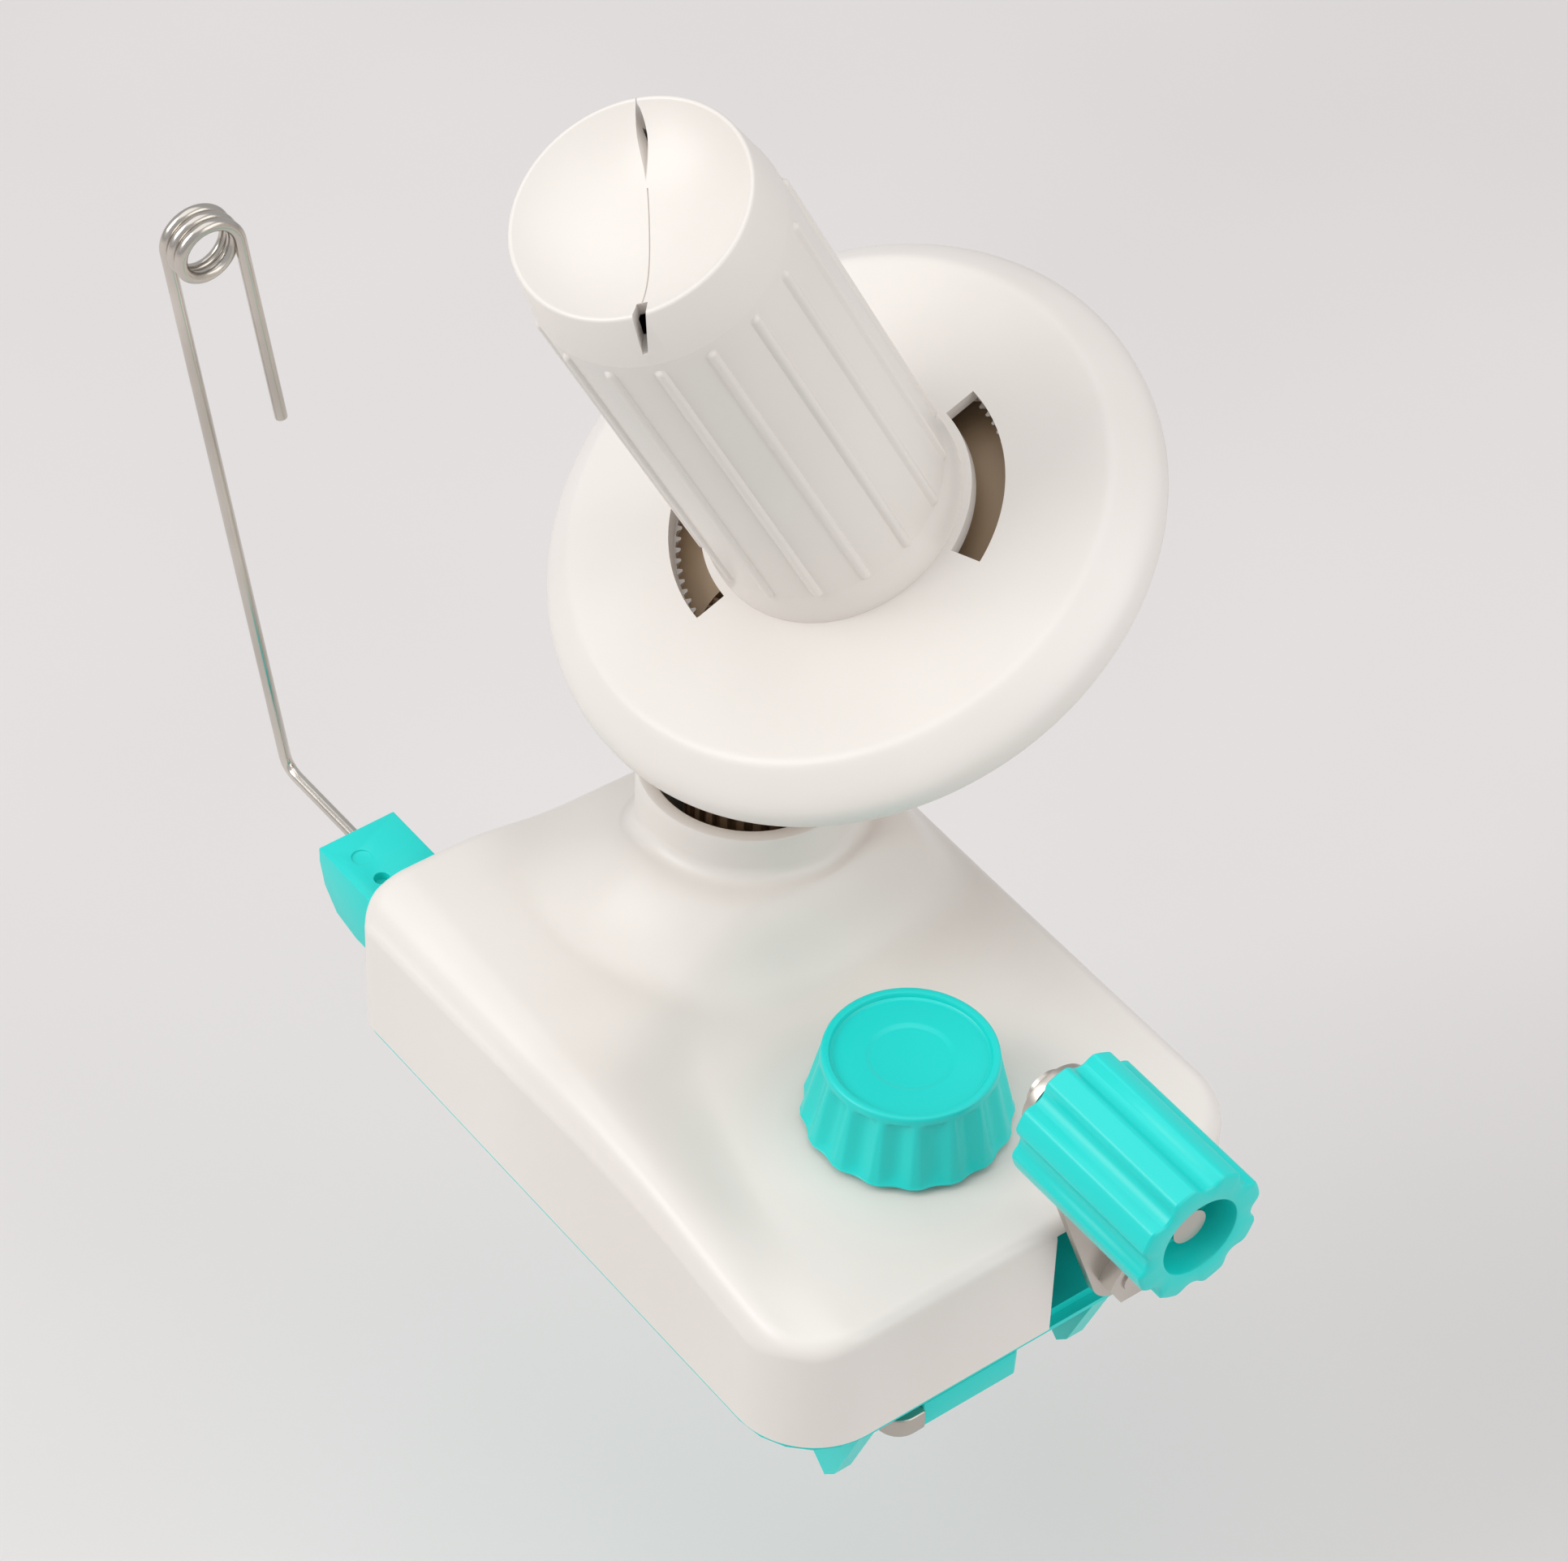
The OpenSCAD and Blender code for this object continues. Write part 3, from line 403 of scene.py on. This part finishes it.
def make_disc():
    profile = [(13.9, 0), (30, 0), (46, 0), (52, 0), (52.8, -0.03), (53.5, -0.16), (54.1, -0.42), (54.7, -0.8),
               (55.6, -1.5), (56.6, -2.36), (57.6, -3.25), (58.5, -4.12), (59.3, -4.98), (60, -5.9), (60.5, -6.75),
               (60.85, -7.6), (61.05, -8.5), (61.15, -9.5), (61.1, -11.2), (60.95, -11.6), (60.6, -11.7),
               (59, -11.7), (58.7, -11.4), (58.6, -9), (57.5, -7.2), (55.5, -5), (53.6, -3.3), (51.5, -2.6), (13.9, -2.6)]
    disc = make("winding_disc_moulded", lathe(profile, 288), DISC, WHITE)
    cut(disc, arc_tool(26.7, 33.2, -72.5, -5, -5, 3), arc_tool(26.7, 33.2, 107.5, 175, -5, 3))
    stand_for(disc, "spindle", "white_plastic", "winding_disc")


def ribbed(r, z, a):
    if r < 24 or z < 8 or z > 91:
        return r
    d = math.radians((a - 5.2 + 11.25) % 22.5 - 11.25) * r
    end = max(0, 10 - z, z - 89)
    rise = 1 - d * d - end * end
    return r + max(0, math.sqrt(rise) - 0.2) if rise > 0 else r


def make_tube():
    side = [8.6, 9, 9.2, 9.4, 9.7, 10, 10.5, 20, 40, 60, 80, 88.5, 89, 89.3, 89.6, 89.8, 90, 90.4]
    profile = [(4.1, -2.6), (13.9, -2.6), (13.9, 0), (24.9, 0), (25, 1), (25, 2),
               (24.9, 4), (24.6, 7)] + [(24.4, z) for z in side]
    profile += [(24.4, 92), (22.2, 92), (22.2, 57), (9, 57), (9, 62), (4.1, 62), (4.1, 54),
                (22.2, 54), (22.2, 3), (9, 3), (9, 8), (4.1, 8)]
    tube = make("spindle_tube_moulded", lathe(profile, 576, ribbed), DISC, WHITE)
    stand_for(tube, "spindle", "white_plastic", "spindle_tube")


def upright(form, way, near):
    """A cutter that stands along one direction: depth below the rim, place across, half width."""
    points = [(x - w, 104.4 - d) for d, x, w in form] + [(x + w, 104.4 - d) for d, x, w in reversed(form)]
    c, s = turn(way)
    loops = [[(c * t - s * w, s * t + c * w, z) for w, z in points] for t in (near, 30)]
    return make("slit_tool", skin(loops, cap=True), DISC)


def dish(r):
    return 104.2 - 7 * (1 - min(1, abs(r) / 21.7) ** 2.6)


def make_cup():
    profile = [(0.01, 94.4), (12, 94.4), (19.6, 99.4), (20.2, 89), (22.2, 89), (22.2, 92), (24.4, 92),
               (22.7, 103.9), (22.5, 104.25), (22.2, 104.4), (21.95, 104.38), (21.75, 104.25)]
    profile += [(21.7 * t, dish(21.7 * t)) for t in (math.sin(math.radians(a)) for a in range(87, 0, -3))]
    profile += [(0.01, dish(0))]
    cup = make("spindle_cup_moulded", lathe(profile, 192), DISC, WHITE)
    slit = [(-1, 0, 0.12), (0.3, 0, 0.15), (0.9, 0, 0.4), (1.5, 0, 0.6), (2.5, 0, 0.85), (3.5, 0, 0.96),
            (4.4, 0, 0.85), (5.2, 0, 0.6), (5.9, 0, 0.3), (6.4, 0, 0.1)]
    notch = [(-1, 3.05, 1.3), (9.4, 0.4, 0.5)]
    seam = []
    for x in range(-19, 9):
        y, z = -1.7 * (8 - x) / 24 - 0.2, dish(x)
        seam.append([(x, y - 0.32, z + 0.6), (x, y + 0.32, z + 0.6), (x, y + 0.04, z - 0.3), (x, y - 0.04, z - 0.3)])
    line = make("seam_tool", skin(seam, cap=True), DISC @ Matrix.Rotation(math.radians(48), 4, "Z"))
    cut(cup, upright(slit, 48, 6), upright(notch, 228, 18), line)
    stand_for(cup, "spindle", "white_plastic", "spindle_cup")


# Knob and handle
def fluted(r, z, a):
    if r < 16 or z > 46.2:
        return r
    d = math.radians((a + 11.25) % 22.5 - 11.25) * r
    way = smooth((45.8 - z) / 1.2) * (0.45 + 0.55 * smooth((z - 31.5) / 3))
    return r - 1.3 * way * math.cos(min(abs(d) / 3.0, 1) * math.pi / 2) ** 1.2


def make_knob():
    side = [(20 - 3.3 * (z - 31.2) / 15, z) for z in (32, 32.4, 32.8, 33.2, 33.6, 36, 39, 42, 44.4, 44.8, 45.2, 45.6, 46)]
    profile = [(4, 31.2), (19.4, 31.2), (19.85, 31.4), (20, 31.8)] + side
    profile += [(16.7, 46.5), (16.62, 46.9), (16.4, 47.12), (16.1, 47.2), (15.5, 47.2), (15.2, 47.1), (15, 46.8),
                (14.9, 46.2), (14.6, 45.95), (14.1, 45.9), (8.6, 46.2), (8.2, 46.15), (7.6, 45.85), (7.2, 45.8), (0.01, 45.8),
                (0.01, 40), (4, 40)]
    knob = make("clamp_knob_moulded", lathe(profile, 384, fluted), BOLT, TEAL)
    stand_for(knob, "knob", "teal_plastic", "clamp_knob")


def lobe(a):
    d = math.radians((a % 45) - 22.5)
    off = 15 * math.sin(abs(d))
    if off >= 3.2:
        return 13.6
    return min(13.6, 15 * math.cos(d) - math.sqrt(3.2 ** 2 - off ** 2))


def make_handle():
    n = 360
    raw = [lobe(360 * i / n) for i in range(n)]
    radii = [sum(raw[(i + k) % n] for k in (-3, -2, -1, 0, 1, 2, 3)) / 7 for i in range(n)]
    near, far = -79.6, -115.2

    def section(y, inset=0.0, flat=None):
        out = []
        for i in range(n):
            c, s = turn(360 * i / n)
            r = flat if flat else radii[i] - inset
            out.append((r * s, y, r * c))
        return out

    loops = [section(near, flat=2.6), section(near, 0.7), section(near - 0.15, 0.3), section(near - 0.5)]
    loops += [section(far + 0.5), section(far + 0.15, 0.3), section(far, 0.7), section(far, flat=8.5),
              section(far + 0.1, flat=8.25), section(far + 0.4, flat=8.1), section(far + 7.2, flat=8.1),
              section(far + 7.2, flat=2.6)]
    grip = make("handle_grip_moulded", skin(loops, closed=True), HANDLE, TEAL)
    stand_for(grip, "handle", "teal_plastic", "handle_grip")


# Yarn guide
def bend(a, corner, b, radius, steps=10):
    """Points of a rounded corner."""
    a, corner, b = Vector(a), Vector(corner), Vector(b)
    p = corner + (a - corner).normalized() * radius
    q = corner + (b - corner).normalized() * radius
    return [p.lerp(corner, i / steps).lerp(corner.lerp(q, i / steps), i / steps) for i in range(steps + 1)]


def tube(path, radius, sides=20):
    loops, side = [], Vector((1, 0, 0.02))
    for i, p in enumerate(path):
        way = (path[min(i + 1, len(path) - 1)] - path[max(i - 1, 0)]).normalized()
        side = (side - way * side.dot(way)).normalized()
        other = way.cross(side)
        r = radius
        loops.append([p + side * r * c + other * r * s for c, s in (turn(360 * k / sides) for k in range(sides))])
    return skin(loops, cap=True)


def make_wire():
    eye_x, eye_z, r, x0, y0 = -55.4, 168.3, 5.9, -41, 113
    coil = []
    for k in range(0, 181):
        c, s = turn(188.3 - 5 * k)
        coil.append(Vector((eye_x + r * c, y0 - 2.47 * k / 72, eye_z + r * s)))
    low = Vector((x0 - 0.1, y0 + 0.1, 27))
    path = [Vector((x0, 73, 27)), Vector((x0, 90, 27))] + bend((x0, 90, 27), low, coil[0], 4)
    path += [low.lerp(coil[0], t) for t in (0.2, 0.5, 0.8, 0.97)] + coil
    end = coil[-1] + Vector((6.9, 0, -45.5))
    path += [coil[-1].lerp(end, t) for t in (0.1, 0.5, 1)]
    wire = make("guide_wire_bent", tube(path, 1.2), HERE, WIRE, sharp=50)
    stand_for(wire, "frame", "steel", "guide_wire")


# Pieces whose CAD form gets softened edges
def soften(node, body, slot, material, width, segments=3):
    o = bpy.data.objects.new(node + "_eased", NODES[node].data.copy())
    bpy.context.scene.collection.objects.link(o)
    b = bmesh.new()
    b.from_mesh(o.data)
    bmesh.ops.remove_doubles(b, verts=b.verts, dist=1e-6)
    bmesh.ops.dissolve_limit(b, angle_limit=math.radians(1), verts=b.verts, edges=b.edges)
    b.to_mesh(o.data)
    b.free()
    m = o.modifiers.new("ease", "BEVEL")
    m.width, m.segments, m.limit_method, m.angle_limit = width * MM, segments, "ANGLE", math.radians(40)
    bake(o, 60)
    paint(o, material)
    stand_for(o, body, slot, node)


make_shell()
make_disc()
make_tube()
make_cup()
make_knob()
make_handle()
make_wire()
soften("guide_bracket", "frame", "teal_plastic", TEAL, 0.5)
soften("jaw_cover", "jaw", "teal_plastic", TEAL, 0.35)
soften("clamp_jaw", "jaw", "steel", STEEL_FLAT, 0.5)
soften("crank_arm", "crank", "steel", STEEL_FLAT, 0.3)


# Studio
def make_floor():
    mesh = bpy.data.meshes.new("studio_floor")
    size, z = 6.0, -0.14
    mesh.from_pydata([(-size, -size, z), (size, -size, z), (size, size, z), (-size, size, z)], [], [(0, 1, 2, 3)])
    o = bpy.data.objects.new("studio_floor", mesh)
    bpy.context.scene.collection.objects.link(o)
    s = Shader("studio_paper", roughness=0.9)
    s.colour(s.noise(6, 2), [(0.3, srgb(216, 212, 211)), (0.7, srgb(220, 216, 215))])
    o.data.materials.append(s.m)


def lamp(name, place, aim, size, watts, colour=(1, 1, 1)):
    light = bpy.data.lights.new(name, "AREA")
    light.shape = "RECTANGLE"
    light.size, light.size_y = size
    light.energy = watts
    light.color = colour
    o = bpy.data.objects.new(name, light)
    bpy.context.scene.collection.objects.link(o)
    o.location = place
    o.rotation_mode = "QUATERNION"
    o.rotation_quaternion = (Vector(aim) - Vector(place)).to_track_quat("-Z", "Y")


def make_light():
    world = bpy.data.worlds.new("studio")
    bpy.context.scene.world = world
    world.use_nodes = True
    back = world.node_tree.nodes["Background"]
    back.inputs["Color"].default_value = (0.9, 0.91, 0.93, 1)
    back.inputs["Strength"].default_value = 0.62
    lamp("key", (-1.15, 0.45, 1.0), (0, 0, 0.08), (0.9, 0.9), 11.5, (1, 0.99, 0.97))
    lamp("top", (-0.1, 0.2, 1.6), (0, 0, 0.05), (1.6, 1.6), 8)
    lamp("fill", (0.5, -1.1, 0.8), (0, 0, 0.05), (1.2, 1.2), 7.2, (1, 0.985, 0.96))


make_floor()
make_light()
bpy.context.scene.view_settings.view_transform = "Standard"
